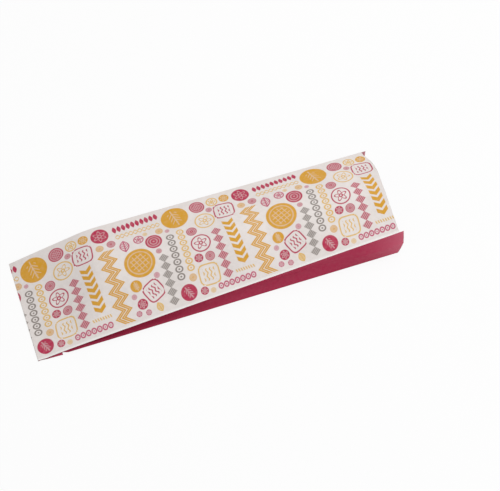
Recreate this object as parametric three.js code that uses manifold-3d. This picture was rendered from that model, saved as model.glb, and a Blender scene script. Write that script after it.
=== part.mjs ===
// A long paper sandwich bag with side gussets, lying on its back and standing open, as if it held a baguette.
// One sheet of paper makes the whole bag: the back and front panels, two gussets that fold in between them,
// a lengthwise lap where the sheet's edges are glued, and a bottom that is folded over and glued flat.
// Millimetres, +Z up, +X from the folded bottom to the mouth. The bag is shaped section by section,
// a section being the loop of paper at one distance from the bottom.

import * as THREE from "three";
import { mergeVertices } from "three/addons/utils/BufferGeometryUtils.js";
import Module from "manifold-3d";

// The sheet
const PANEL_WIDTH = 100; // front and back panel, fold to fold
const BAG_LENGTH = 330; // folded bottom to the mouth corners of the gussets
const GUSSET_WIDTH = 26; // one gusset, opened flat
const PAPER = 0.2; // wall
const LAP_WIDTH = 12; // overlap of the glued lengthwise seam
const FOLD_DEPTH = 21; // how far the glued bottom reaches up the bag
const SEALED_THICKNESS = 1.4; // the bottom's layers, pressed together

// The cut at the mouth, measured back from the gussets' corners
const FRONT_SETBACK = 4;
const BACK_SETBACK = 5.2;
const CREASE_SETBACK = 1.6;
const LOWER_GUSSET_SETBACK = 2.8;
const UPPER_GUSSET_SETBACK = 0.7;
const CORNER_NOTCH = 2; // width over which the front's cut steps out to the gusset's corner

// The open form
const MOUTH_SIDE_HEIGHT = 25.2; // back to front fold, at the mouth
const FILLED_FROM = 70.5; // where the far side has reached its full height
const FILLED_SIDE_HEIGHT = 24; // that height
const FAR_BEND = 3; // softness of the bend there
const NEAR_RISE_FROM = 10; // where the near side starts to open
const NEAR_RISE_POWER = 0.85;
const ARCH_RISE_FILLED = 9; // how far the front bows above its folds, where the filling starts
const ARCH_RISE_MOUTH = 17; // and at the mouth
const NEAR_INSET_MOUTH = 5.4; // the front's folds lie inside the back's, because the front bows
const FAR_INSET_FILLED = 2.6;
const FAR_INSET_MOUTH = 4.8;
const BACK_SETTLES = 30; // length over which the back comes down to the table past the sealed bottom
const PLEAT_FULL_TO = 40; // up to here the near crease is folded in as deep as its paper allows,
const PLEAT_EASED_AT = 200; // and from here
const PLEAT_EASED = 0.45; // only this share of it
const POP_FROM = 95; // the near crease turns from folded in to bulging out,
const POP_TO = 5; // between these distances from the mouth
const POP_OUT = 0.7; // share of the full depth by which it then bulges
const STEEPEST_FOLD = 1.6; // depth of a gusset's fold over its opening, where it is nearly shut

// Mesh
const FRONT_STEPS = 16;
const BACK_STEPS = 8;
const RAMP_STEPS = 12; // sections up to where the bag is full
const BODY_STEPS = 15; // sections from there to the mouth
const MITRE_LIMIT = 7;
const SEAL_OVERLAP = 1; // how far the tube reaches into the sealed bottom
const SEAM_SINK = 0.5; // share of the paper by which the lap sinks into the back
const SHORTEST_EDGE = 0.01; // slivers under this, left where the pieces are joined, are closed up

const PAPER_WHITE = 0xefece8;

const lerp = (a, b, t) => a + (b - a) * t;
const clamp01 = (t) => Math.min(1, Math.max(0, t));
const smooth = (t) => clamp01(t) ** 2 * (3 - 2 * clamp01(t));

// The smaller of two heights, with the corner between them rounded over the given softness.
function smoothMin(a, b, softness) {
  const share = clamp01(0.5 + (0.5 * (b - a)) / softness);
  return lerp(b, a, share) - softness * share * (1 - share);
}

// Height of the front panel's near fold.
function nearFoldHeight(s) {
  const along = clamp01((s - NEAR_RISE_FROM) / (BAG_LENGTH - NEAR_RISE_FROM));
  return lerp(SEALED_THICKNESS, MOUTH_SIDE_HEIGHT, along ** NEAR_RISE_POWER);
}

// Height of the front panel's far fold: a straight ramp from the bottom, and then nearly level.
function farFoldHeight(s) {
  const ramp = lerp(SEALED_THICKNESS, FILLED_SIDE_HEIGHT, s / FILLED_FROM);
  const level = lerp(FILLED_SIDE_HEIGHT, MOUTH_SIDE_HEIGHT, (s - FILLED_FROM) / (BAG_LENGTH - FILLED_FROM));
  return smoothMin(ramp, level, FAR_BEND);
}

const filledShare = (s) => clamp01((s - FILLED_FROM) / (BAG_LENGTH - FILLED_FROM));
const nearInset = (s) => (NEAR_INSET_MOUTH * s) / BAG_LENGTH;
const farInset = (s) =>
  s < FILLED_FROM ? (FAR_INSET_FILLED * s) / FILLED_FROM : lerp(FAR_INSET_FILLED, FAR_INSET_MOUTH, filledShare(s));

function archRise(s) {
  const opening = smooth((s - FOLD_DEPTH) / (FILLED_FROM - FOLD_DEPTH));
  return lerp(ARCH_RISE_FILLED, ARCH_RISE_MOUTH, filledShare(s)) * opening;
}

// The arch across the front, 0 at the folds and 1 in the middle: between a parabola and a cosine wave.
function archShape(across) {
  const side = 2 * across - 1;
  return 0.5 * (1 - side ** 2) + 0.25 * (1 + Math.cos(Math.PI * side));
}

// A point of the front panel: s along the bag, across from 0 at the near fold to 1 at the far one.
function frontPoint(s, across) {
  const y = lerp(nearInset(s), PANEL_WIDTH - farInset(s), across);
  const z = lerp(nearFoldHeight(s), farFoldHeight(s), across) + archRise(s) * archShape(across);
  return [y, z];
}

// A point of the back panel. It leaves the sealed bottom a little above the table, and settles on it.
function backPoint(s, across) {
  const layers = SEALED_THICKNESS - 3 * PAPER;
  const atSeal = frontPoint(FOLD_DEPTH, across)[1] - layers;
  const lift = 1 - smooth((s - FOLD_DEPTH) / BACK_SETTLES);
  const held = Math.min(atSeal, frontPoint(s, across)[1] - layers);
  return [PANEL_WIDTH * across, lerp(PAPER / 2, held, lift)];
}

// The crease in the middle of a gusset, between its lower and upper folds. Inward is +1 on the near side, -1 on the far.
function creasePoint(lower, upper, inward, fold) {
  const [dy, dz] = [upper[0] - lower[0], upper[1] - lower[1]];
  const chord = Math.hypot(dy, dz);
  const half = GUSSET_WIDTH / 2;
  const slack = Math.sqrt(Math.max(0, half ** 2 - (chord / 2) ** 2));
  const depth = Math.min(slack, STEEPEST_FOLD * chord) * fold;
  const [ny, nz] = [(dz / chord) * inward, (-dy / chord) * inward];
  return [(lower[0] + upper[0]) / 2 + ny * depth, (lower[1] + upper[1]) / 2 + nz * depth];
}

// How far the near crease is folded in: fully at first, then less, until it pops out at the mouth.
function nearFold(s) {
  const eased = lerp(1, PLEAT_EASED, smooth((s - PLEAT_FULL_TO) / (PLEAT_EASED_AT - PLEAT_FULL_TO)));
  return lerp(eased, -POP_OUT, smooth((s - (BAG_LENGTH - POP_FROM)) / (POP_FROM - POP_TO)));
}

const between = (a, b) => [(a[0] + b[0]) / 2, (a[1] + b[1]) / 2];

// The loop of paper at distance s from the bottom, as [x, y, z], starting at the front's near fold.
function section(s) {
  const loop = [];
  const add = ([y, z], setback) => loop.push([(s * (BAG_LENGTH - setback)) / BAG_LENGTH, y, z]);
  const notch = CORNER_NOTCH / PANEL_WIDTH;
  add(frontPoint(s, 0), 0);
  for (let i = 0; i <= FRONT_STEPS; i++) add(frontPoint(s, lerp(notch, 1 - notch, i / FRONT_STEPS)), FRONT_SETBACK);
  const addGusset = (first, last, inward, fold, setbacks) => {
    const crease = inward < 0 ? creasePoint(last, first, inward, fold) : creasePoint(first, last, inward, fold);
    add(between(first, crease), setbacks[0]);
    add(crease, CREASE_SETBACK);
    add(between(crease, last), setbacks[1]);
  };
  add(frontPoint(s, 1), 0);
  addGusset(frontPoint(s, 1), backPoint(s, 1), -1, 1, [UPPER_GUSSET_SETBACK, LOWER_GUSSET_SETBACK]);
  for (let i = 0; i <= BACK_STEPS; i++) add(backPoint(s, 1 - i / BACK_STEPS), BACK_SETBACK);
  addGusset(backPoint(s, 0), frontPoint(s, 0), 1, nearFold(s), [LOWER_GUSSET_SETBACK, UPPER_GUSSET_SETBACK]);
  return loop;
}

// A loop moved out by the given distance, square to the paper, with mitred corners.
function offsetLoop(loop, distance) {
  const count = loop.length;
  const edgeNormal = (a, b) => {
    const [dy, dz] = [b[1] - a[1], b[2] - a[2]];
    const length = Math.hypot(dy, dz);
    return [-dz / length, dy / length];
  };
  return loop.map((point, i) => {
    const before = edgeNormal(loop[(i + count - 1) % count], point);
    const after = edgeNormal(point, loop[(i + 1) % count]);
    const [sy, sz] = [before[0] + after[0], before[1] + after[1]];
    const size = Math.hypot(sy, sz);
    const mitre = Math.min(MITRE_LIMIT, 2 / size);
    return [point[0], point[1] + (sy / size) * mitre * distance, point[2] + (sz / size) * mitre * distance];
  });
}

// The distances from the bottom at which the tube's sections stand, closer together where it opens.
function stations() {
  const start = FOLD_DEPTH - SEAL_OVERLAP;
  const ramp = Array.from({ length: RAMP_STEPS }, (_, i) => lerp(start, FILLED_FROM + FAR_BEND, i / RAMP_STEPS));
  const body = Array.from({ length: BODY_STEPS + 1 }, (_, i) =>
    lerp(FILLED_FROM + FAR_BEND, BAG_LENGTH, Math.sin(((i / BODY_STEPS) * Math.PI) / 2) * 0.25 + (i / BODY_STEPS) * 0.75),
  );
  return [...ramp, ...body];
}

// Joins two quads' worth of corners per cell into triangles. flip turns the faces round.
function addStrip(triangles, a, b, c, d, flip) {
  triangles.push(...(flip ? [a, b, c, b, d, c] : [a, c, b, b, c, d]));
}

function geometryOf(points, triangles) {
  const geometry = new THREE.BufferGeometry();
  geometry.setAttribute("position", new THREE.Float32BufferAttribute(points.flat(), 3));
  geometry.setIndex(triangles);
  return mergeVertices(geometry);
}

// A tube with a wall, open at both ends: rows of outer loops and the matching inner ones.
function tubeGeometry(outerRows, innerRows) {
  const rows = outerRows.length;
  const around = outerRows[0].length;
  const outer = (i, j) => i * around + (j % around);
  const inner = (i, j) => rows * around + outer(i, j);
  const triangles = [];
  for (let j = 0; j < around; j++) {
    for (let i = 0; i < rows - 1; i++) {
      addStrip(triangles, outer(i, j), outer(i, j + 1), outer(i + 1, j), outer(i + 1, j + 1), false);
      addStrip(triangles, inner(i, j), inner(i, j + 1), inner(i + 1, j), inner(i + 1, j + 1), true);
    }
    const last = rows - 1;
    addStrip(triangles, outer(0, j), outer(0, j + 1), inner(0, j), inner(0, j + 1), true);
    addStrip(triangles, outer(last, j), outer(last, j + 1), inner(last, j), inner(last, j + 1), false);
  }
  return geometryOf([...outerRows.flat(), ...innerRows.flat()], triangles);
}

// A closed slab between rows of points and the same rows lower down.
function slabGeometry(topRows, bottomRows) {
  const loops = topRows.map((row, i) => [...row, ...[...bottomRows[i]].reverse()]);
  const around = loops[0].length;
  const triangles = [];
  for (let i = 0; i < loops.length - 1; i++)
    for (let j = 0; j < around; j++) {
      const next = (j + 1) % around;
      addStrip(triangles, i * around + j, i * around + next, (i + 1) * around + j, (i + 1) * around + next, false);
    }
  const width = topRows[0].length;
  for (const [row, flip] of [[0, true], [loops.length - 1, false]])
    for (let j = 0; j < width - 1; j++) {
      const [top, low] = [row * around + j, row * around + around - 1 - j];
      addStrip(triangles, top, top + 1, low, low - 1, flip);
    }
  return geometryOf(loops.flat(), triangles);
}

const wasm = await Module();
wasm.setup();

function solidOf(geometry) {
  return new wasm.Manifold(
    new wasm.Mesh({
      numProp: 3,
      vertProperties: new Float32Array(geometry.getAttribute("position").array),
      triVerts: new Uint32Array(geometry.index.array),
    }),
  );
}

function geometryFrom(solid) {
  const { vertProperties, triVerts } = solid.getMesh();
  const geometry = new THREE.BufferGeometry();
  geometry.setAttribute("position", new THREE.BufferAttribute(new Float32Array(vertProperties), 3));
  geometry.setIndex(new THREE.BufferAttribute(new Uint32Array(triVerts), 1));
  return geometry;
}

// The open length of the bag, from just inside the sealed bottom to the mouth.
function paperTube() {
  const loops = stations().map(section);
  return tubeGeometry(
    loops.map((loop) => offsetLoop(loop, PAPER / 2)),
    loops.map((loop) => offsetLoop(loop, -PAPER / 2)),
  );
}

// The bottom: all layers folded over and glued into one stiff strip, with a rounded folded edge.
function sealedBottom() {
  const edge = SEALED_THICKNESS / 2;
  const rows = [
    [0, 0.25],
    [edge / 2, 0.8],
    [edge, 1],
    [FOLD_DEPTH / 3, 1],
    [(2 * FOLD_DEPTH) / 3, 1],
    [FOLD_DEPTH, 1],
  ];
  const row = (s, share, side) =>
    Array.from({ length: FRONT_STEPS + 1 }, (_, i) => {
      const [y, z] = frontPoint(s, i / FRONT_STEPS);
      return [s, y, z - SEALED_THICKNESS / 2 + (side * share * SEALED_THICKNESS) / 2];
    });
  return slabGeometry(
    rows.map(([s, share]) => row(s, share, 1)),
    rows.map(([s, share]) => row(s, share, -1)),
  );
}

// The inner layer of the lengthwise lap, on the middle of the back panel's inside.
function lapSeam() {
  const edges = [0.5 - LAP_WIDTH / 2 / PANEL_WIDTH, 0.5, 0.5 + LAP_WIDTH / 2 / PANEL_WIDTH];
  const rows = stations().map((s) =>
    edges.map((across) => {
      const [y, z] = backPoint(s, across);
      return [(s * (BAG_LENGTH - BACK_SETBACK)) / BAG_LENGTH, y, z];
    }),
  );
  const raise = (height) => rows.map((row) => row.map(([x, y, z]) => [x, y, z + height]));
  return slabGeometry(raise(1.5 * PAPER), raise(PAPER * SEAM_SINK - PAPER / 2));
}

function paperBag() {
  const solid = solidOf(paperTube()).add(solidOf(sealedBottom())).add(solidOf(lapSeam()));
  const geometry = geometryFrom(solid.simplify(SHORTEST_EDGE));
  geometry.computeBoundingBox();
  const { min, max } = geometry.boundingBox;
  const paper = new THREE.MeshStandardMaterial({ color: PAPER_WHITE, roughness: 0.62, metalness: 0 });
  const bag = new THREE.Mesh(geometry, paper);
  bag.name = "paper_bag";
  bag.position.set(-(min.x + max.x) / 2, -(min.y + max.y) / 2, -min.z);
  return bag;
}

const group = new THREE.Group();
group.add(paperBag());

export default group;
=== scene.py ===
# %% [markdown]
# # A printed paper sandwich bag
#
# The bag is a single sheet of thin paper, folded into a flat tube with a gusset down each side, glued along a
# lap on its back, and closed by turning its bottom under and gluing it. It lies on its back and stands open,
# in the form that use has given it. The lesson makes it the way a bag machine does: lay the sheet out flat,
# cut the mouth, print the sheet, and then fold it up.

# %% Load the frame
import math
import random

import bmesh
import bpy
from mathutils import Matrix, Vector, noise


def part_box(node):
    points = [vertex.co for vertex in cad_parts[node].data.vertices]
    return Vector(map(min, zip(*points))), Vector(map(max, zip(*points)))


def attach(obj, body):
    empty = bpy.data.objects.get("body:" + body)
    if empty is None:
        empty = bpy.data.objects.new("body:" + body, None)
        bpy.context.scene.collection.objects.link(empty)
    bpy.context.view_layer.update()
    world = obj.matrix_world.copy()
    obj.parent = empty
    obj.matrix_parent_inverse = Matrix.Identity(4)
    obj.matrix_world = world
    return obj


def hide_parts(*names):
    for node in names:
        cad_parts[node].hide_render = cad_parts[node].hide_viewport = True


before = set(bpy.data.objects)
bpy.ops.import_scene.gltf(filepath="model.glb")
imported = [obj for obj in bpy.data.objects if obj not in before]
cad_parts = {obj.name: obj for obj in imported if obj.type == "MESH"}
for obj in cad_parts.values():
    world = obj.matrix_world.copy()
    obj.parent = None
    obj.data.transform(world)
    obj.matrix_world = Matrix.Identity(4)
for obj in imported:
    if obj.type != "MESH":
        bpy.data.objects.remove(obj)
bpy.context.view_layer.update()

# %% [markdown]
# ## Camera
#
# The photograph looks down on the bag from its near side with a long lens, so parallel edges hardly converge.
# A camera found from the bag's own corners gives the same view. Its aim is on the table, a little towards
# the mouth, and no lens shift is needed.

# %% Camera
VIEW_AZIMUTH = math.radians(-19.2)
VIEW_ELEVATION = math.radians(58.1)
VIEW_DISTANCE = 1.232
VIEW_TARGET = Vector((0.0394, 0.0002, 0.0))
SENSOR = 36.0
FOCAL_LENGTH = 100.8

back = Vector((
    math.sin(VIEW_AZIMUTH) * math.cos(VIEW_ELEVATION),
    -math.cos(VIEW_AZIMUTH) * math.cos(VIEW_ELEVATION),
    math.sin(VIEW_ELEVATION),
))
camera_data = bpy.data.cameras.new("camera")
camera_data.sensor_width = SENSOR
camera_data.lens = FOCAL_LENGTH
camera = bpy.data.objects.new("camera", camera_data)
camera.location = VIEW_TARGET + back * VIEW_DISTANCE
camera.rotation_euler = back.to_track_quat("Z", "Y").to_euler()
bpy.context.collection.objects.link(camera)
bpy.context.scene.camera = camera
print("camera at", tuple(round(c, 3) for c in camera.location))

# %% [markdown]
# ## Sizes
#
# All sizes are in millimetres and become metres at the end. The bag's length and place come from the packed
# frame, and the rest are the sheet's own sizes. `u` runs along the sheet from the fold of the bottom to the
# mouth, and is negative on the flap that is turned under. `v` runs across it.

# %% Sizes of the sheet
MM = 0.001
low, high = (Vector(corner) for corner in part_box("paper_bag"))
BAG_LENGTH = (high.x - low.x) / MM
PANEL_WIDTH = 100.0
GUSSET_HALF = 13.0
LAP_WIDTH = 12.0
FOLD_DEPTH = 21.0
PAPER = 0.1
PRESSED_LAYERS = 0.6
SEALED_THICKNESS = 1.4
SOLID_WALL = 0.2
TABLE_GAP = 0.02
ROW = 1.35
COLUMNS = {"front": 74, "lap": 4, "back_near": 14, "back_far": 18}
GUSSET_COLUMNS = 8
BAG_START = low.x / MM
# The solid reaches half its wall past the middle of its paper.
BAG_NEAR_SIDE = high.y / MM - SOLID_WALL / 2 - PANEL_WIDTH

# The strips of the sheet between its folds, in order across it, with their widths.
STRIPS = {
    "lap": LAP_WIDTH,
    "back_near": PANEL_WIDTH / 2 - LAP_WIDTH / 2,
    "near_lower": GUSSET_HALF,
    "near_upper": GUSSET_HALF,
    "front": PANEL_WIDTH,
    "far_upper": GUSSET_HALF,
    "far_lower": GUSSET_HALF,
    "back_far": PANEL_WIDTH / 2 + LAP_WIDTH / 2,
}
starts = {}
sheet_width = 0.0
for name, width in STRIPS.items():
    starts[name] = sheet_width
    sheet_width += width
print(f"sheet {BAG_LENGTH + FOLD_DEPTH:.0f} x {sheet_width:.0f} mm")

# %% [markdown]
# ## The open form
#
# The far side stands at full height soon after the bottom, while the near side rises evenly to the mouth, and
# the front bows over both. Dragging points by hand would stretch the paper, so these few heights are written
# as functions of the distance from the bottom, and the paper can be laid on them at any point.

# %% Heights of the open bag
MOUTH_SIDE_HEIGHT = 25.2
FILLED_FROM = 70.5
FILLED_SIDE_HEIGHT = 24.0
FAR_BEND = 3.0
NEAR_RISE_FROM = 8.0
NEAR_RISE_POWER = 0.8
ARCH_RISE_FILLED = 9.0
ARCH_RISE_MOUTH = 17.0
NEAR_INSET_MOUTH = 5.4
FAR_INSET_FILLED = 2.6
FAR_INSET_MOUTH = 4.8
BACK_SETTLES_NEAR = 5.0
BACK_SETTLES_FAR = 16.0
EDGE_ROUNDING = 0.35
EDGE_ROUNDING_WIDTH = 3.0
EDGE_ROUNDING_EASE = 45.0
PLEAT_FULL_TO = 40.0
PLEAT_EASED_AT = 200.0
PLEAT_EASED = 0.45
POP_FROM = 95.0
POP_TO = 5.0
POP_OUT = 0.7
LAP_STEP = 3.0


def lerp(a, b, t):
    return a + (b - a) * t


def clamp01(t):
    return min(1.0, max(0.0, t))


def smooth(t):
    t = clamp01(t)
    return t * t * (3 - 2 * t)


def smooth_min(a, b, softness):
    share = clamp01(0.5 + 0.5 * (b - a) / softness)
    return lerp(b, a, share) - softness * share * (1 - share)


def near_fold_height(s):
    along = clamp01((s - NEAR_RISE_FROM) / (BAG_LENGTH - NEAR_RISE_FROM))
    return lerp(SEALED_THICKNESS, MOUTH_SIDE_HEIGHT, along ** NEAR_RISE_POWER)


def filled_share(s):
    return clamp01((s - FILLED_FROM) / (BAG_LENGTH - FILLED_FROM))


def far_fold_height(s):
    ramp = lerp(SEALED_THICKNESS, FILLED_SIDE_HEIGHT, s / FILLED_FROM)
    level = lerp(FILLED_SIDE_HEIGHT, MOUTH_SIDE_HEIGHT, (s - FILLED_FROM) / (BAG_LENGTH - FILLED_FROM))
    return smooth_min(ramp, level, FAR_BEND)


def far_inset(s):
    if s < FILLED_FROM:
        return FAR_INSET_FILLED * s / FILLED_FROM
    return lerp(FAR_INSET_FILLED, FAR_INSET_MOUTH, filled_share(s))


def arch(s, across):
    side = 2 * across - 1
    shape = 0.5 * (1 - side**2) + 0.25 * (1 + math.cos(math.pi * side))
    opening = smooth((s - FOLD_DEPTH) / (FILLED_FROM - FOLD_DEPTH))
    return lerp(ARCH_RISE_FILLED, ARCH_RISE_MOUTH, filled_share(s)) * opening * shape


def front_point(s, across):
    y = lerp(NEAR_INSET_MOUTH * s / BAG_LENGTH, PANEL_WIDTH - far_inset(s), across)
    to_fold = min(across, 1 - across) * PANEL_WIDTH
    rounding = EDGE_ROUNDING * clamp01(1 - to_fold / EDGE_ROUNDING_WIDTH) ** 2
    rounding *= smooth((s - FOLD_DEPTH) / EDGE_ROUNDING_EASE)
    side_height = lerp(near_fold_height(s), far_fold_height(s), across)
    return Vector((y, side_height + arch(s, across) - rounding))


def back_point(s, across):
    lift = 1 - smooth((s - FOLD_DEPTH) / lerp(BACK_SETTLES_NEAR, BACK_SETTLES_FAR, across))
    at_seal = front_point(min(s, FOLD_DEPTH), across).y - PRESSED_LAYERS
    held = min(at_seal, front_point(s, across).y - PRESSED_LAYERS)
    y = lerp(PANEL_WIDTH * across, front_point(s, across).x, lift * across)
    return Vector((y, lerp(TABLE_GAP, held, lift)))


print("sides at the mouth:", near_fold_height(BAG_LENGTH), far_fold_height(BAG_LENGTH))

# %% [markdown]
# ## Folding
#
# Each gusset half is as wide as it was cut, so its crease lies where two arcs of that width meet. It goes
# deep into the bag where the side is nearly shut, and pops out at the mouth on the near side. Where the side
# is nearly shut the crease also has to stay between the panels, which slope there.

# %% Fold a point of the flat sheet into its place
NEARLY_SHUT = 8.0
PRESSED_STEEPNESS = 14
LAP_LIFT = 1.6
FLAP_SKEW = 2.7
FLAP_SHIFT = 0.5
FLAP_EASE = 2.0


def near_fold(s):
    """How far the near crease is folded in: fully at first, then less, until it pops out at the mouth."""
    eased = lerp(1, PLEAT_EASED, smooth((s - PLEAT_FULL_TO) / (PLEAT_EASED_AT - PLEAT_FULL_TO)))
    return lerp(eased, -POP_OUT, smooth((s - (BAG_LENGTH - POP_FROM)) / (POP_FROM - POP_TO)))


def crease_point(s, side):
    lower, upper = back_point(s, side), front_point(s, side)
    inward = 1 if side == 0 else -1
    chord = max((upper - lower).length, 1e-6)
    across = (upper - lower) / chord
    depth = math.sqrt(max(0.0, GUSSET_HALF**2 - (chord / 2) ** 2))
    if side == 0:
        depth *= near_fold(s)
    point = (lower + upper) / 2 + Vector((across.y, -across.x)) * inward * depth
    share = clamp01(point.x / PANEL_WIDTH)
    between = (back_point(s, share).y + front_point(s, share).y) / 2
    point.y = lerp(between, point.y, smooth(chord / NEARLY_SHUT))
    return point


def pleat_point(s, side, fold, share):
    """A point of a gusset half. Pressed shut, it leaves its fold steeply and lies between the panels."""
    place = fold.lerp(crease_point(s, side), share)
    lower, upper = back_point(s, side), front_point(s, side)
    across = clamp01(place.x / PANEL_WIDTH)
    down = 0.5 * (1 - (1 - share) ** PRESSED_STEEPNESS)
    if fold == lower:
        down = 1 - down
    pressed = lerp(front_point(s, across).y, back_point(s, across).y, down)
    shut = 1 - smooth((upper.y - lower.y - PRESSED_LAYERS) / NEARLY_SHUT)
    place.y = lerp(place.y, pressed, shut)
    return place


def lap_lift(b):
    """How far the lap, and the paper that leads up to it, is lifted to lie over the far part of the back."""
    return LAP_LIFT * PAPER * smooth((b - (PANEL_WIDTH / 2 - LAP_WIDTH / 2 - LAP_STEP)) / LAP_STEP)


def section_point(s, strip, w):
    """The place (y, z) in the section at s of the point at w across a strip."""
    if strip == "front":
        return front_point(s, w / PANEL_WIDTH)
    if strip in ("lap", "back_near"):
        b = PANEL_WIDTH / 2 + LAP_WIDTH / 2 - w - (LAP_WIDTH if strip == "back_near" else 0)
        return back_point(s, b / PANEL_WIDTH) + Vector((0, lap_lift(b)))
    if strip == "back_far":
        return back_point(s, 1 - w / PANEL_WIDTH)
    side = 0 if strip.startswith("near") else 1
    from_fold = w / GUSSET_HALF if strip in ("near_lower", "far_upper") else 1 - w / GUSSET_HALF
    fold = front_point(s, side) if strip.endswith("upper") else back_point(s, side)
    return pleat_point(s, side, fold, from_fold)


def folded(u, strip, w):
    """The place in the bag of a point of the flat sheet."""
    if u >= 0:
        place = section_point(u, strip, w)
        x, y, z = u, place.x, place.y
    else:
        layer = section_point(0, strip, w)
        surface = front_point(0, clamp01(layer.x / PANEL_WIDTH)).y
        radius = SEALED_THICKNESS / 2 - (surface - layer.y)
        turn = min(math.pi, -u / radius)
        run = max(0.0, -u - math.pi * radius)
        x = run - radius * math.sin(turn)
        along = max(x, 0)
        here = section_point(along, strip, w)
        top = front_point(along, clamp01(here.x / PANEL_WIDTH)).y
        y = here.x + (FLAP_SHIFT - FLAP_SKEW * along / FOLD_DEPTH) * min(1, along / FLAP_EASE)
        z = top - SEALED_THICKNESS / 2 + radius * math.cos(turn)
    return Vector((BAG_START + x, BAG_NEAR_SIDE + y, z)) * MM


print("near crease half way along:", crease_point(BAG_LENGTH / 2, 0))

# %% [markdown]
# ## The flat sheet
#
# One grid per strip, merged edge to edge, makes the sheet with an edge line on every fold. Rows are added
# where the bottom turns over, and the mouth gets the fine teeth of the knife that cuts such bags. Each face
# remembers its strip.

# %% Lay out the sheet
TOOTH_DEPTH = 0.45
TOOTH_CUTS = 3
CORNER_NOTCH = 0.4
WELD = 0.01
CUT_SNAP = 0.02
bag = bmesh.new()
strip_of = bag.faces.layers.int.new("strip")
strip_names = list(STRIPS)
rows = round((BAG_LENGTH + FOLD_DEPTH) / ROW)
for index, (name, width) in enumerate(STRIPS.items()):
    columns = COLUMNS.get(name, GUSSET_COLUMNS)
    place = Matrix.Translation(((BAG_LENGTH - FOLD_DEPTH) / 2, starts[name] + width / 2, 0))
    stretch = Matrix.Diagonal(((BAG_LENGTH + FOLD_DEPTH) / 2, width / 2, 1, 1))
    made = bmesh.ops.create_grid(bag, x_segments=rows, y_segments=columns, size=1, matrix=place @ stretch)
    for face in {f for v in made["verts"] for f in v.link_faces}:
        face[strip_of] = index
bmesh.ops.remove_doubles(bag, verts=bag.verts, dist=WELD)


def add_line(point, normal):
    everything = list(bag.verts) + list(bag.edges) + list(bag.faces)
    bmesh.ops.bisect_plane(bag, geom=everything, dist=CUT_SNAP, plane_co=point, plane_no=normal)


TURN_ROWS = [0.0, -0.45, -0.9, -1.35, -1.8, -2.2]
for u in TURN_ROWS:
    add_line((u, 0, 0), (1, 0, 0))
for v in (starts["front"] + CORNER_NOTCH, starts["far_upper"] - CORNER_NOTCH):
    add_line((0, v, 0), (0, 1, 0))

mouth_edges = [e for e in bag.edges if e.is_boundary and all(v.co.x > BAG_LENGTH - WELD for v in e.verts)]
bmesh.ops.subdivide_edges(bag, edges=mouth_edges, cuts=TOOTH_CUTS)
teeth = sorted((v for v in bag.verts if v.co.x > BAG_LENGTH - WELD), key=lambda v: v.co.y)
for tooth in teeth[1::2]:
    tooth.co.x -= TOOTH_DEPTH
print(len(bag.faces), "faces in the flat sheet,", len(teeth) // 2, "teeth")

# %% [markdown]
# ## The cut at the mouth
#
# The front is cut back a few millimetres from the gussets' corners, in a slow wave that is hollow in its near
# half and runs out in its far half. The back is cut a little more, so a finger can open the bag. The rows are
# drawn back in step, so no cell is squeezed.

# %% Cut the mouth
FRONT_SETBACK = 4.0
FRONT_HOLLOW = 1.0
HOLLOW_WIDTH = 62.0
RUNS_OUT_FROM = 45.0
RUNS_OUT_FULL = 82.0
RUNS_OUT = 0.55
BACK_SETBACK = 5.2
CREASE_SETBACK = 0.9


def setback(strip, w):
    if strip == "front":
        edge = min(w, PANEL_WIDTH - w)
        hollow = FRONT_HOLLOW * math.sin(math.pi * min(1, w / HOLLOW_WIDTH))
        out = smooth((w - RUNS_OUT_FROM) / (RUNS_OUT_FULL - RUNS_OUT_FROM))
        out *= 1 - smooth((w - RUNS_OUT_FULL) / (PANEL_WIDTH - RUNS_OUT_FULL))
        return (FRONT_SETBACK * (1 - RUNS_OUT * out) + hollow) * clamp01(edge / CORNER_NOTCH)
    if strip in ("near_upper", "far_lower"):
        start = CREASE_SETBACK
        end = 0 if strip == "near_upper" else BACK_SETBACK
    elif strip in ("near_lower", "far_upper"):
        start = BACK_SETBACK if strip == "near_lower" else 0
        end = CREASE_SETBACK
    else:
        return BACK_SETBACK
    return lerp(start, end, w / GUSSET_HALF)


def strip_at(v, strip):
    return v - starts[strip]


vertex_strip = {}
for face in bag.faces:
    for vert in face.verts:
        vertex_strip.setdefault(vert, strip_names[face[strip_of]])
for vert, strip in vertex_strip.items():
    if vert.co.x > 0:
        vert.co.x *= 1 - setback(strip, strip_at(vert.co.y, strip)) / BAG_LENGTH
print("mouth cut back by", setback("front", PANEL_WIDTH / 2), "mm in the middle of the front")

# %% [markdown]
# ## The print
#
# The front carries a close pattern of discs, outlined shapes and ornamental bands in raspberry, mustard and
# grey. It repeats along the paper, as a printing cylinder makes it do. The motifs of one repeat are thrown
# one by one, the largest first. Of the first few places where a motif fits, it takes the one with the least
# room to spare, which packs them closely. The seed was picked from a few dozen for the fullest repeat, and
# the shift along the paper for the fewest motifs cut at the mouth and at the bottom.

# %% Arrange one repeat of the print
REPEAT = 128.0
MARGIN = 3.2
GAP = 1.25
INKS = {
    "raspberry": (0.47, 0.020, 0.072, 1),
    "mustard": (0.70, 0.345, 0.020, 1),
    "grey": (0.235, 0.200, 0.178, 1),
    "pink": (0.54, 0.095, 0.170, 1),
    "straw": (0.76, 0.47, 0.13, 1),
}
KINDS = [
    "none", "rings", "wheat", "lattice", "flower", "tile", "bloom", "leaf",
    "diamonds", "chevrons", "zigzag", "seeds", "beads", "braid", "ticks",
]
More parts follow.
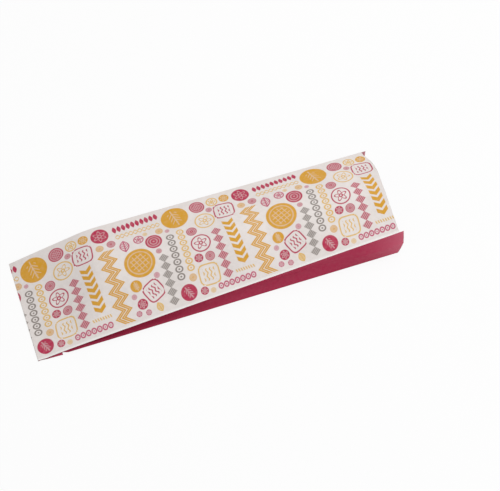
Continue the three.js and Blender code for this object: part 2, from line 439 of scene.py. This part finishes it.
# How many of each, its kind and ink, half its width, and half its length in half widths.
MOTIFS = [
    (1, "zigzag", "mustard", 8.6, 3.9), (1, "lattice", "mustard", 14.0, 1), (1, "wheat", "mustard", 12.5, 1),
    (1, "diamonds", "grey", 5.0, 4.5), (1, "chevrons", "mustard", 5.6, 4.18),
    (1, "diamonds", "raspberry", 5.2, 4.5), (1, "seeds", "raspberry", 3.8, 5.5),
    (1, "tile", "raspberry", 9.4, 1), (1, "flower", "raspberry", 8.2, 1),
    (1, "bloom", "straw", 9.0, 1), (1, "tile", "straw", 9.4, 1), (1, "rings", "raspberry", 7.6, 1),
    (1, "beads", "grey", 3.6, 6.3), (1, "bloom", "raspberry", 8.8, 1), (1, "braid", "straw", 3.4, 6.5),
    (1, "wheat", "raspberry", 7.4, 1), (1, "tile", "raspberry", 8.6, 1), (1, "lattice", "raspberry", 7.0, 1),
    (1, "beads", "straw", 3.4, 6.3), (1, "leaf", "pink", 7.4, 1), (1, "flower", "raspberry", 6.6, 1),
    (1, "beads", "pink", 3.0, 6.3), (1, "wheat", "mustard", 6.6, 1), (1, "seeds", "grey", 3.0, 6.6),
    (1, "bloom", "straw", 7.2, 1), (1, "braid", "raspberry", 2.6, 6.5), (1, "seeds", "mustard", 3.2, 4.4),
    (1, "bloom", "pink", 6.2, 1), (1, "rings", "raspberry", 5.6, 1), (1, "ticks", "raspberry", 2.4, 7.0),
    (1, "flower", "mustard", 5.2, 1), (1, "ticks", "grey", 2.4, 5.6), (2, "rings", "raspberry", 4.8, 1),
    (1, "ticks", "straw", 2.2, 5.6), (1, "leaf", "straw", 5.4, 1), (1, "beads", "straw", 2.6, 4.5),
    (1, "rings", "mustard", 4.4, 1), (2, "flower", "raspberry", 4.0, 1), (2, "rings", "mustard", 3.4, 1),
    (2, "rings", "raspberry", 3.2, 1), (2, "flower", "pink", 3.2, 1), (3, "rings", "pink", 2.6, 1),
    (2, "rings", "straw", 2.4, 1),
]
SHRINKS = (1.0, 0.9, 0.8, 0.7)
THROWS = 700
THROWS_SMALL = 3000
SMALL = 5.5
PLACES = 14
PRINT_SEED = 19
PRINT_SHIFT = 90.0
ACROSS_SHARE = 0.85
SWAY_ROUND = 0.5
SWAY_BAND = 0.06
DISC_STEP = 1.3
CORNER_DISC = 0.35


def discs_of(u, v, angle, half, reach):
    """The circles that cover a motif: one, or along a band a row of them and one in each of its corners."""
    if reach == 1:
        return [(u, v, half)]
    spread = (reach - 1) * half
    count = math.ceil(2 * spread / (DISC_STEP * half)) + 1
    spots = [(lerp(-spread, spread, i / (count - 1)), 0.0, half) for i in range(count)]
    corner = CORNER_DISC * half
    for end in (-1, 1):
        for edge in (-1, 1):
            spots.append((end * (reach - CORNER_DISC) * half, edge * (1 - CORNER_DISC) * half, corner))
    cos, sin = math.cos(angle), math.sin(angle)
    return [(u + cos * x - sin * y, v + sin * x + cos * y, radius) for x, y, radius in spots]


def room_round(circles, taken):
    """How much room a place leaves round a motif, or None where the motif does not fit."""
    total = 0.0
    for u, v, half in circles:
        nearest = min(v, PANEL_WIDTH - v) - MARGIN - half
        if nearest < 0:
            return None
        for other_u, other_v, other_half in taken:
            along = (u - other_u + REPEAT / 2) % REPEAT - REPEAT / 2
            gap = math.hypot(along, v - other_v) - half - other_half - GAP
            if gap < 0:
                return None
            nearest = min(nearest, gap)
        total += nearest
    return total / len(circles)


def throw_one(throw, taken, half, reach):
    """A free place for one motif, a little smaller if need be, or None."""
    upright = math.pi / 2 if reach == 1 or throw.random() < ACROSS_SHARE else 0
    sway = SWAY_ROUND if reach == 1 else SWAY_BAND
    for shrink in SHRINKS:
        places = []
        for _ in range(THROWS_SMALL if half < SMALL and reach == 1 else THROWS):
            angle = upright + throw.uniform(-sway, sway)
            u, v = throw.uniform(0, REPEAT), throw.uniform(0, PANEL_WIDTH)
            circles = discs_of(u, v, angle, half * shrink, reach)
            room = room_round(circles, taken)
            if room is not None:
                places.append((room, circles, (half * shrink, reach, u, v, angle)))
            if len(places) == PLACES:
                break
        if places:
            return min(places, key=lambda place: place[0])[1:]
    return None


def arrange(seed):
    throw = random.Random(seed)
    taken, placed = [], []
    for count, kind, ink, half, reach in MOTIFS:
        for _ in range(count):
            found = throw_one(throw, taken, half, reach)
            if found:
                taken += found[0]
                placed.append((kind, ink) + found[1])
    return placed


repeat_print = arrange(PRINT_SEED)
print("placed", len(repeat_print), "of", sum(motif[0] for motif in MOTIFS), "motifs")

# %% [markdown]
# ## Motifs on the sheet
#
# A picture is the usual way to print a sheet, but its pixels would show up close. Every face of the front
# holds the place inside the motif that covers it in a UV map of its own, and the motif's kind, size and ink
# in colour attributes, so the material can draw each motif as sharp as it likes.

# %% Give every face the motif that covers it
sheet_map = bag.loops.layers.uv.new("sheet")
motif_map = bag.loops.layers.uv.new("motif")
facts = bag.loops.layers.float_color.new("motif_facts")
inks = bag.loops.layers.float_color.new("motif_ink")
OVERHANG = 1.5


def covering(u, v):
    """The motif that a point of the front is deepest inside of, or else nearest to, and the place in it."""
    best_gap, found = OVERHANG, None
    for kind, ink, half, reach, centre_u, centre_v, angle in repeat_print:
        along = (u + PRINT_SHIFT - centre_u + REPEAT / 2) % REPEAT - REPEAT / 2
        turned = Matrix.Rotation(-angle, 2) @ Vector((along, v - centre_v))
        if reach == 1:
            gap = math.hypot(turned.x, turned.y) - half
        else:
            gap = max(abs(turned.x) - half * reach, abs(turned.y) - half)
        if gap < best_gap:
            best_gap, found = gap, (kind, ink, half, reach, angle, turned)
    return found


for face in bag.faces:
    found = None
    centre = face.calc_center_median()
    if strip_names[face[strip_of]] == "front":
        found = covering(centre.x, centre.y - starts["front"])
    for loop in face.loops:
        loop[sheet_map].uv = (loop.vert.co.x * MM, loop.vert.co.y * MM)
        loop[facts] = (0, 0, 0, 1)
        if found:
            kind, ink, half, reach, angle, turned = found
            offset = Matrix.Rotation(-angle, 2) @ (loop.vert.co.xy - centre.xy)
            loop[motif_map].uv = (turned + offset) / half
            loop[facts] = (KINDS.index(kind), reach, half, 1)
            loop[inks] = INKS[ink]
print("repeats on the front:", round((BAG_LENGTH + FOLD_DEPTH) / REPEAT, 1))

# %% [markdown]
# ## Fold it up and crumple it a little
#
# Moving every vertex by the folding rule turns the flat sheet into the bag. Handling leaves soft dents in so
# thin a paper, so the panels get a slow uneven wave along their normals, which fades out at the folds, in the
# glued bottom and on the underside.

# %% Fold the bag
DENT = 1.7
DENT_LENGTH = 34.0
RIPPLE = 0.2
RIPPLE_LENGTH = 9.0
SLOW_SLICE = 3.1
QUICK_SLICE = 8.7
FADE = 9.0
DENT_EASE = 30.0
ON_BOTTOM_FOLD = 0.05

flat = {vert: vert.co.copy() for vert in bag.verts}
for vert, strip in vertex_strip.items():
    vert.co = folded(vert.co.x, strip, strip_at(vert.co.y, strip))
for edge in bag.edges:
    strips = {strip_names[face[strip_of]] for face in edge.link_faces}
    at_bottom = all(abs(flat[vert].x) < ON_BOTTOM_FOLD for vert in edge.verts)
    edge.smooth = not (len(strips) > 1 and strips != {"lap", "back_near"} or at_bottom)
bag.normal_update()

for vert, strip in vertex_strip.items():
    if strip.startswith("back") or strip == "lap":
        continue
    u, v = flat[vert].xy
    w = strip_at(v, strip)
    to_fold = min(w, STRIPS[strip] - w)
    hold = smooth(to_fold / FADE) * smooth((u - FOLD_DEPTH) / DENT_EASE)
    slow = noise.noise(Vector((u / DENT_LENGTH, v / DENT_LENGTH, SLOW_SLICE)))
    quick = noise.noise(Vector((u / RIPPLE_LENGTH, v / RIPPLE_LENGTH, QUICK_SLICE)))
    vert.co += vert.normal * (DENT * slow + RIPPLE * quick) * hold * MM
print("folded", len(bag.verts), "points")

# %% [markdown]
# ## Thickness
#
# So far the bag is a surface. The paper's two faces look different here, so a Solidify modifier adds the
# inner face and the cut rim and gives both the second material. Modelling the inner face by hand would be
# the same work twice.

# %% Make it a piece
bag_mesh = bpy.data.meshes.new("paper_bag_sheet")
for face in bag.faces:
    face.smooth = True
bag.to_mesh(bag_mesh)
bag.free()
bag_piece = bpy.data.objects.new("paper_bag_sheet", bag_mesh)
bpy.context.collection.objects.link(bag_piece)
wall = bag_piece.modifiers.new("paper", "SOLIDIFY")
wall.thickness = PAPER * MM
wall.offset = -1
wall.material_offset = 1
wall.material_offset_rim = 1
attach(bag_piece, "root")
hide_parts("paper_bag")
print("piece size (mm):", [round(c / MM, 1) for c in bag_piece.dimensions])

# %% [markdown]
# ## Node helpers
#
# The finishes are worked out with many small Math nodes. A helper that adds one node and returns its output
# keeps the formulas readable, and another opens a node group with named sockets.


# %% Node helpers
def feed(tree, socket, value):
    if isinstance(value, bpy.types.NodeSocket):
        tree.links.new(value, socket)
    else:
        socket.default_value = value


def calc(tree, operation, *values, clamp=False):
    node = tree.nodes.new("ShaderNodeMath")
    node.operation = operation
    node.use_clamp = clamp
    for socket, value in zip(node.inputs, values):
        feed(tree, socket, value)
    return node.outputs[0]


def blend(tree, share, first, second):
    node = tree.nodes.new("ShaderNodeMix")
    node.data_type = "RGBA"
    feed(tree, node.inputs["Factor"], share)
    feed(tree, node.inputs["A"], first)
    feed(tree, node.inputs["B"], second)
    return node.outputs["Result"]


def noise_value(tree, place, scale, detail=2.0, roughness=0.5):
    node = tree.nodes.new("ShaderNodeTexNoise")
    feed(tree, node.inputs["Vector"], place)
    node.inputs["Scale"].default_value = scale
    node.inputs["Detail"].default_value = detail
    node.inputs["Roughness"].default_value = roughness
    return node.outputs["Fac"]


def open_group(name, inputs, outputs):
    tree = bpy.data.node_groups.new(name, "ShaderNodeTree")
    for socket_name, kind in inputs.items():
        tree.interface.new_socket(socket_name, in_out="INPUT", socket_type="NodeSocket" + kind)
    for socket_name, kind in outputs.items():
        tree.interface.new_socket(socket_name, in_out="OUTPUT", socket_type="NodeSocket" + kind)
    return tree, tree.nodes.new("NodeGroupInput").outputs, tree.nodes.new("NodeGroupOutput").inputs


def use_group(tree, group, **values):
    node = tree.nodes.new("ShaderNodeGroup")
    node.node_tree = group
    for name, value in values.items():
        feed(tree, node.inputs[name], value)
    return node.outputs


# %% [markdown]
# ## Drawing the motifs
#
# Each kind of motif is a formula on the place inside it, where 1 is its edge. A distance that is near nought
# gives a pen stroke, and a negative one the inside of a shape. All strokes are as wide as the pen, whatever
# the motif's size, so the group is told how wide the pen is in the motif's own scale.


# %% Strokes and shapes
def stroke(tree, distance, pen):
    away = calc(tree, "ABSOLUTE", distance)
    return calc(tree, "ADD", calc(tree, "DIVIDE", calc(tree, "SUBTRACT", pen, away), pen), 0.5, clamp=True)


def inside(tree, distance, pen):
    return calc(tree, "SUBTRACT", 0.5, calc(tree, "DIVIDE", distance, pen), clamp=True)


def ring(tree, radius, at, pen):
    return stroke(tree, calc(tree, "SUBTRACT", radius, at), pen)


def disc(tree, radius, at, pen):
    return inside(tree, calc(tree, "SUBTRACT", radius, at), pen)


def length_of(tree, x, y):
    return calc(tree, "SQRT", calc(tree, "ADD", calc(tree, "MULTIPLY", x, x), calc(tree, "MULTIPLY", y, y)))


def lightened(tree, lines, share):
    return calc(tree, "SUBTRACT", 1.0, calc(tree, "MULTIPLY", lines, share))


def both(tree, *masks):
    result = masks[0]
    for mask in masks[1:]:
        result = calc(tree, "MULTIPLY", result, mask)
    return result


def either(tree, *masks):
    result = masks[0]
    for mask in masks[1:]:
        result = calc(tree, "MAXIMUM", result, mask)
    return result


def within(tree, value, limit, pen):
    return inside(tree, calc(tree, "SUBTRACT", calc(tree, "ABSOLUTE", value), limit), pen)


def repeated(tree, value, pitch):
    """The distance from the middle of the nearest of a row of cells."""
    cell = calc(tree, "FRACT", calc(tree, "DIVIDE", value, pitch))
    return calc(tree, "MULTIPLY", calc(tree, "SUBTRACT", cell, 0.5), pitch)


def petals(tree, radius, angle, middle, swing, count):
    wave = calc(tree, "COSINE", calc(tree, "MULTIPLY", angle, float(count)))
    return calc(tree, "SUBTRACT", radius, calc(tree, "MULTIPLY_ADD", wave, swing, middle))


# %% One drawing for each kind of motif
LINE_LIGHTENS = 0.4
HATCH_LIGHTENS = 0.5
ZIGZAG_LIGHTENS = 0.45


def draw_motif(tree, kind, x, y, radius, angle, pen, reach):
    if kind in ("rings", "wheat", "lattice", "flower"):
        body = disc(tree, radius, 0.96, pen)
        if kind == "rings":
            ring_in = ring(tree, radius, 0.40, pen)
            ring_out = ring(tree, radius, 0.70, pen)
            lines = either(tree, ring_in, ring_out, disc(tree, radius, 0.12, pen))
        elif kind == "wheat":
            slant = calc(tree, "ADD", x, calc(tree, "ABSOLUTE", y))
            grains = both(
                tree, stroke(tree, repeated(tree, slant, 0.3), pen),
                within(tree, y, 0.36, pen), within(tree, x, 0.52, pen),
            )
            stem = both(tree, stroke(tree, y, pen), within(tree, x, 0.76, pen))
            lines = either(tree, grains, stem)
        elif kind == "lattice":
            one_way = stroke(tree, repeated(tree, calc(tree, "ADD", x, y), 0.36), pen)
            other_way = stroke(tree, repeated(tree, calc(tree, "SUBTRACT", x, y), 0.36), pen)
            net = both(tree, either(tree, one_way, other_way), disc(tree, radius, 0.6, pen))
            lines = either(tree, net, ring(tree, radius, 0.74, pen))
        else:
            outline = stroke(tree, petals(tree, radius, angle, 0.52, 0.16, 6), pen)
            lines = either(tree, outline, ring(tree, radius, 0.2, pen))
        return both(tree, body, lightened(tree, lines, LINE_LIGHTENS))
    if kind == "tile":
        corners = calc(tree, "ADD", calc(tree, "POWER", calc(tree, "ABSOLUTE", x), 4.0),
                       calc(tree, "POWER", calc(tree, "ABSOLUTE", y), 4.0))
        edge = stroke(tree, calc(tree, "SUBTRACT", calc(tree, "POWER", corners, 0.25), 0.92), pen)
        sway = calc(tree, "MULTIPLY", calc(tree, "SINE", calc(tree, "MULTIPLY", x, 11.0)), 0.07)
        waves = stroke(tree, repeated(tree, calc(tree, "ADD", y, sway), 0.36), pen)
        field = both(tree, waves, within(tree, x, 0.56, pen), within(tree, y, 0.54, pen))
        return either(tree, edge, field)
    if kind == "bloom":
        edge = ring(tree, radius, 0.92, pen)
        outline = stroke(tree, petals(tree, radius, angle, 0.46, 0.16, 5), pen)
        return either(tree, edge, outline, ring(tree, radius, 0.16, pen))
    if kind == "leaf":
        belly = calc(tree, "MULTIPLY", calc(tree, "SUBTRACT", 0.86, calc(tree, "MULTIPLY", x, x)), 0.66)
        rim = calc(tree, "SUBTRACT", calc(tree, "ABSOLUTE", y), belly)
        veins = stroke(tree, repeated(tree, calc(tree, "SUBTRACT", x, calc(tree, "ABSOLUTE", y)), 0.34), pen)
        blade = inside(tree, rim, pen)
        middle = both(tree, stroke(tree, y, pen), within(tree, x, 0.92, pen))
        return either(tree, stroke(tree, rim, pen), both(tree, veins, blade), middle)
    along = calc(tree, "ADD", x, reach)
    ends = within(tree, x, reach, pen)
    if kind == "diamonds":
        cell = calc(tree, "ABSOLUTE", repeated(tree, along, 1.5))
        slope = calc(tree, "ADD", calc(tree, "MULTIPLY", cell, 1.15), calc(tree, "ABSOLUTE", y))
        body = inside(tree, calc(tree, "SUBTRACT", slope, 0.92), pen)
        hatch = stroke(tree, repeated(tree, calc(tree, "ADD", x, y), 0.4), pen)
        return both(tree, body, ends, lightened(tree, hatch, HATCH_LIGHTENS))
    if kind == "chevrons":
        slant = calc(tree, "SUBTRACT", x, calc(tree, "MULTIPLY", calc(tree, "ABSOLUTE", y), 0.7))
        bars = within(tree, repeated(tree, calc(tree, "ADD", slant, reach), 1.1), 0.35, pen)
        whole = within(tree, calc(tree, "ADD", slant, 0.33), calc(tree, "SUBTRACT", reach, 0.33), pen)
        return both(tree, bars, whole, within(tree, y, 0.88, pen))
    if kind == "zigzag":
        swing = calc(tree, "ABSOLUTE", repeated(tree, along, 1.3))
        level = calc(tree, "ADD", y, calc(tree, "MULTIPLY_ADD", swing, 1.29, -0.42))
        beside = calc(tree, "SUBTRACT", calc(tree, "ABSOLUTE", level), 0.31)
        light = lightened(tree, stroke(tree, beside, pen), ZIGZAG_LIGHTENS)
        return both(tree, within(tree, beside, 0.25, pen), ends, light)
    if kind == "seeds":
        spot = repeated(tree, along, 1.1)
        belly = calc(tree, "MULTIPLY", calc(tree, "SUBTRACT", 0.92, calc(tree, "MULTIPLY", y, y)), 0.52)
        body = inside(tree, calc(tree, "SUBTRACT", calc(tree, "ABSOLUTE", spot), belly), pen)
        return both(tree, body, ends)
    if kind == "beads":
        spot = repeated(tree, along, 1.8)
        long_way = calc(tree, "MULTIPLY", y, 0.86)
        distance = length_of(tree, spot, long_way)
        outline = ring(tree, distance, 0.68, pen)
        return both(tree, either(tree, outline, disc(tree, distance, 0.2, pen)), ends)
    if kind == "braid":
        wave = calc(tree, "MULTIPLY", calc(tree, "SINE", calc(tree, "MULTIPLY", along, math.pi / 1.3)), 0.66)
        one = stroke(tree, calc(tree, "SUBTRACT", y, wave), pen)
        other = stroke(tree, calc(tree, "ADD", y, wave), pen)
        return both(tree, either(tree, one, other), ends)
    lean = calc(tree, "MULTIPLY_ADD", y, 0.3, along)
    tick = stroke(tree, repeated(tree, lean, 1.4), pen)
    return both(tree, tick, ends, within(tree, y, 0.86, pen))


print(len(KINDS) - 1, "kinds of motif")

# %% Node group that draws the print
PEN = 0.56
SAME_KIND = 0.2
print_group, given, result = open_group(
    "printed motifs", {"Place": "Vector", "Facts": "Vector"}, {"Ink": "Float"},
)
place_parts = print_group.nodes.new("ShaderNodeSeparateXYZ")
fact_parts = print_group.nodes.new("ShaderNodeSeparateXYZ")
print_group.links.new(given["Place"], place_parts.inputs[0])
print_group.links.new(given["Facts"], fact_parts.inputs[0])
x, y = place_parts.outputs[0], place_parts.outputs[1]
kind_number, reach, half = fact_parts.outputs
pen = calc(print_group, "DIVIDE", PEN, calc(print_group, "MAXIMUM", half, 1.0))
radius = length_of(print_group, x, y)
angle = calc(print_group, "ARCTAN2", y, x)
total = 0.0
for number, kind in enumerate(KINDS[1:], start=1):
    drawn = draw_motif(print_group, kind, x, y, radius, angle, pen, reach)
    chosen = calc(print_group, "COMPARE", kind_number, float(number), SAME_KIND)
    total = calc(print_group, "MULTIPLY_ADD", drawn, chosen, total)
print_group.links.new(total, result["Ink"])
print("print group:", len(print_group.nodes), "nodes")

# %% [markdown]
# ## Paper
#
# Thin bleached kraft paper is not one flat white. It is cloudy where the fibres lie thicker, it has fine
# fibres that catch the light, and its folds are pale, partly from ink rubbed off and partly from a painted
# highlight along them. One group gives the paper's colour, its relief and the pale folds from the place on
# the flat sheet, so all of it runs with the paper round each fold. The front also has a painted highlight,
# a narrow brighter strip along its near fold.

# %% Node group for the paper
PAPER_WHITE = (0.85, 0.79, 0.76, 1)
PAPER_THIN = (0.765, 0.705, 0.675, 1)
# The colour of the painted highlight along the front's near fold, and below it the strip's width.
PAPER_HIGHLIGHT = (0.97, 0.955, 0.94, 1)
HIGHLIGHT_WIDTH = 2.4
CLOUD_SCALE = 240
BROAD_SCALE = 26
FIBRE_SCALE = (420, 1500, 1)
CRUMPLE_SCALE = 42
WANDER_SCALE = 60
WANDER = (0.02, 0.02, 0.0)
RAGGED_SCALE = 900
RUB_AND_HIGHLIGHT_WIDTH = 0.3
fold_lines = [starts[name] * MM for name in ("near_lower", "front", "far_upper", "back_far")]
paper_group, given, result = open_group(
    "bag paper", {"Sheet": "Vector"},
    {"Color": "Color", "Relief": "Float", "RubAndHighlight": "Float", "Mottle": "Float"},
)
sheet_place = given["Sheet"]
cloud = noise_value(paper_group, sheet_place, CLOUD_SCALE, 3.0, 0.6)
broad = noise_value(paper_group, sheet_place, BROAD_SCALE)
stretch = paper_group.nodes.new("ShaderNodeMapping")
stretch.inputs["Scale"].default_value = FIBRE_SCALE
paper_group.links.new(sheet_place, stretch.inputs["Vector"])
fibre = noise_value(paper_group, stretch.outputs[0], 1.0, 4.0, 0.7)
thin = calc(paper_group, "MULTIPLY_ADD", cloud, 1.6, -0.45, clamp=True)
thin = calc(paper_group, "MULTIPLY_ADD", calc(paper_group, "SUBTRACT", broad, 0.5), 1.2, thin, clamp=True)
sheet_parts = paper_group.nodes.new("ShaderNodeSeparateXYZ")
paper_group.links.new(sheet_place, sheet_parts.inputs[0])
# Painted highlight: the front's paper is painted brighter in a narrow strip along its near fold.
to_fold = calc(paper_group, "SUBTRACT", sheet_parts.outputs[1], starts["front"] * MM)
strip = calc(paper_group, "SUBTRACT", 1.0, calc(paper_group, "DIVIDE", to_fold, HIGHLIGHT_WIDTH * MM), clamp=True)
on_front = calc(paper_group, "GREATER_THAN", to_fold, 0.0)
highlight_strip = both(paper_group, strip, on_front)
plain = blend(paper_group, thin, PAPER_WHITE, PAPER_THIN)
paper_group.links.new(blend(paper_group, highlight_strip, plain, PAPER_HIGHLIGHT), result["Color"])
paper_group.links.new(cloud, result["Mottle"])

cells = paper_group.nodes.new("ShaderNodeTexVoronoi")
cells.feature = "DISTANCE_TO_EDGE"
cells.inputs["Scale"].default_value = CRUMPLE_SCALE
bent = paper_group.nodes.new("ShaderNodeVectorMath")
bent.operation = "MULTIPLY_ADD"
wander = paper_group.nodes.new("ShaderNodeTexNoise")
wander.inputs["Scale"].default_value = WANDER_SCALE
paper_group.links.new(sheet_place, wander.inputs["Vector"])
paper_group.links.new(wander.outputs["Color"], bent.inputs[0])
bent.inputs[1].default_value = WANDER
paper_group.links.new(sheet_place, bent.inputs[2])
paper_group.links.new(bent.outputs[0], cells.inputs["Vector"])
crumple = calc(paper_group, "MULTIPLY", cells.outputs["Distance"], 2.2, clamp=True)
relief = calc(paper_group, "MULTIPLY_ADD", fibre, 0.35, calc(paper_group, "MULTIPLY", crumple, 0.5))
paper_group.links.new(calc(paper_group, "MULTIPLY_ADD", broad, 0.8, relief), result["Relief"])

# The folds get a ragged pale hairline. It is partly ink worn off and partly a painted highlight along the
# fold lines.
nearest = 1.0
for line in fold_lines:
    away = calc(paper_group, "ABSOLUTE", calc(paper_group, "SUBTRACT", sheet_parts.outputs[1], line))
    nearest = calc(paper_group, "MINIMUM", nearest, away)
ragged = noise_value(paper_group, sheet_place, RAGGED_SCALE, 3.0)
ragged = calc(paper_group, "MULTIPLY", ragged, RUB_AND_HIGHLIGHT_WIDTH * MM)
rub_and_highlight = calc(paper_group, "SUBTRACT", 1.0, calc(paper_group, "DIVIDE", nearest, ragged), clamp=True)
paper_group.links.new(rub_and_highlight, result["RubAndHighlight"])
print("paper group:", len(paper_group.nodes), "nodes")

# %% [markdown]
# ## The two faces of the paper
#
# Outside, the gussets are flooded with raspberry ink that runs a little way on to the back, with a painted
# sheen that makes the ink lighter and pinker just before the mouth, and the front has the pattern. Inside,
# the flood shows through strongly and the pattern only faintly. One function makes both materials. It is told
# how strongly each ink comes through, and how much the face shines.

# %% Materials
GUSSET_INK = (0.395, 0.009, 0.058, 1)
# The colour of the painted sheen on the gusset ink just before the mouth, and how far back it reaches.
SHEEN_INK = (0.575, 0.097, 0.162, 1)
SHEEN_LENGTH = 50.0
INK_SPILL = 3.0
PRINT_COVER = 0.82
PRINT_MOTTLE = 0.3
FLOOD_COVER = 0.96
FLOOD_MOTTLE = 0.05
# How much flood ink the pale fold line takes away. It is partly worn ink and partly a painted highlight.
FOLD_RUB_AND_HIGHLIGHT = 0.55
ROUGHNESS = 0.5
ROUGHNESS_MOTTLE = 0.14
RELIEF_STRENGTH = 0.35
RELIEF_DEPTH = 0.6
gusset_spans = [
    (starts["near_lower"] - INK_SPILL, starts["front"]),
    (starts["far_upper"], starts["back_far"] + INK_SPILL),
]


def paper_material(name, gusset_strength, print_strength, sheen):
    material = bpy.data.materials.new(name)
    material.use_nodes = True
    tree = material.node_tree
    shader = tree.nodes["Principled BSDF"]
    sheet = tree.nodes.new("ShaderNodeUVMap")
    sheet.uv_map = "sheet"
    motif = tree.nodes.new("ShaderNodeUVMap")
    motif.uv_map = "motif"
    facts_of = tree.nodes.new("ShaderNodeAttribute")
    facts_of.attribute_name = "motif_facts"
    ink_of = tree.nodes.new("ShaderNodeAttribute")
    ink_of.attribute_name = "motif_ink"
    paper = use_group(tree, paper_group, Sheet=sheet.outputs[0])
    pattern = use_group(tree, print_group, Place=motif.outputs[0], Facts=facts_of.outputs["Vector"])

    patchy = calc(tree, "MULTIPLY_ADD", paper["Mottle"], PRINT_MOTTLE, PRINT_COVER, clamp=True)
    printed = calc(tree, "MULTIPLY", calc(tree, "MULTIPLY", pattern["Ink"], patchy), print_strength)
    colour = blend(tree, printed, paper["Color"], ink_of.outputs["Color"])

    parts = tree.nodes.new("ShaderNodeSeparateXYZ")
    tree.links.new(sheet.outputs[0], parts.inputs[0])
    flooded = 0.0
    for start, end in gusset_spans:
        after = calc(tree, "GREATER_THAN", parts.outputs[1], start * MM)
        before = calc(tree, "LESS_THAN", parts.outputs[1], end * MM)
        flooded = calc(tree, "MULTIPLY_ADD", after, before, flooded)
    solid = calc(tree, "MULTIPLY_ADD", paper["Mottle"], FLOOD_MOTTLE, FLOOD_COVER, clamp=True)
    # Painted sheen: over the last stretch before the mouth the gusset ink is blended to a lighter, pinker
    # colour.
    near_mouth = calc(tree, "SUBTRACT", parts.outputs[0], (BAG_LENGTH - SHEEN_LENGTH) * MM)
    near_mouth = calc(tree, "DIVIDE", near_mouth, SHEEN_LENGTH * MM, clamp=True)
    gusset_ink_and_sheen = blend(tree, calc(tree, "POWER", near_mouth, 2.0), GUSSET_INK, SHEEN_INK)
    # The flood ink is thinned along the folds, partly as wear and partly as a painted highlight.
    kept = lightened(tree, paper["RubAndHighlight"], FOLD_RUB_AND_HIGHLIGHT)
    cover = calc(tree, "MULTIPLY", calc(tree, "MULTIPLY", both(tree, flooded, solid), kept), gusset_strength)
    colour = blend(tree, cover, colour, gusset_ink_and_sheen)
    tree.links.new(colour, shader.inputs["Base Color"])

    rough = calc(tree, "MULTIPLY_ADD", paper["Mottle"], ROUGHNESS_MOTTLE, ROUGHNESS)
    tree.links.new(rough, shader.inputs["Roughness"])
    shader.inputs["Specular IOR Level"].default_value = sheen
    bump = tree.nodes.new("ShaderNodeBump")
    bump.inputs["Strength"].default_value = RELIEF_STRENGTH
    bump.inputs["Distance"].default_value = RELIEF_DEPTH * MM
    tree.links.new(paper["Relief"], bump.inputs["Height"])
    tree.links.new(bump.outputs["Normal"], shader.inputs["Normal"])
    return material


bag_mesh.materials.append(paper_material("bag_outside", gusset_strength=1.0, print_strength=1.0, sheen=0.3))
bag_mesh.materials.append(paper_material("bag_inside", gusset_strength=0.8, print_strength=0.14, sheen=0.2))
print("materials:", [m.name for m in bag_mesh.materials])

# %% [markdown]
# ## Stage
#
# A wide floor and an even sky give the plain studio look. The floor shows nearly white to the camera and
# keeps a soft shadow under the bag. A large soft lamp stands high beyond the mouth, on the far side, and
# models the folds. A smaller and weaker one stands low on the near side, and the sky lights the rest.

# %% Floor
FLOOR_SIZE = 6.0
FLOOR_GLOW = 0.9
floor_mesh = bpy.data.meshes.new("floor")
floor_build = bmesh.new()
bmesh.ops.create_grid(floor_build, x_segments=1, y_segments=1, size=FLOOR_SIZE / 2)
floor_build.to_mesh(floor_mesh)
floor_build.free()
floor = bpy.data.objects.new("floor", floor_mesh)
bpy.context.collection.objects.link(floor)

floor_material = bpy.data.materials.new("floor")
floor_material.use_nodes = True
tree = floor_material.node_tree
surface = tree.nodes["Principled BSDF"]
surface.inputs["Base Color"].default_value = (0.9, 0.9, 0.9, 1)
surface.inputs["Roughness"].default_value = 0.9
surface.inputs["Specular IOR Level"].default_value = 0.0
glow = tree.nodes.new("ShaderNodeEmission")
rays = tree.nodes.new("ShaderNodeLightPath")
mixer = tree.nodes.new("ShaderNodeMixShader")
seen = calc(tree, "MULTIPLY", rays.outputs["Is Camera Ray"], FLOOR_GLOW)
tree.links.new(seen, mixer.inputs[0])
tree.links.new(surface.outputs[0], mixer.inputs[1])
tree.links.new(glow.outputs[0], mixer.inputs[2])
tree.links.new(mixer.outputs[0], tree.nodes["Material Output"].inputs["Surface"])
floor_mesh.materials.append(floor_material)

# %% Sky and lamps
SKY_STRENGTH = 0.55
world = bpy.data.worlds.new("sky")
world.use_nodes = True
bpy.context.scene.world = world
tree = world.node_tree
background = tree.nodes["Background"]
background.inputs["Color"].default_value = (1, 1, 1, 1)
rays = tree.nodes.new("ShaderNodeLightPath")
seen = calc(tree, "MAXIMUM", rays.outputs["Is Camera Ray"], rays.outputs["Is Glossy Ray"])
strength = calc(tree, "MULTIPLY_ADD", seen, 1 - SKY_STRENGTH, SKY_STRENGTH)
tree.links.new(strength, background.inputs["Strength"])


def add_lamp(name, place, size, energy):
    data = bpy.data.lights.new(name, "AREA")
    data.shape = "SQUARE"
    data.size = size
    data.energy = energy
    lamp = bpy.data.objects.new(name, data)
    lamp.location = place
    lamp.rotation_euler = lamp.location.to_track_quat("Z", "Y").to_euler()
    bpy.context.collection.objects.link(lamp)


add_lamp("softbox", place=(0.48, 0.25, 1.05), size=1.0, energy=5.9)
add_lamp("fill", place=(0.55, -0.8, 0.45), size=0.5, energy=1.5)

bpy.context.scene.view_settings.view_transform = "Standard"
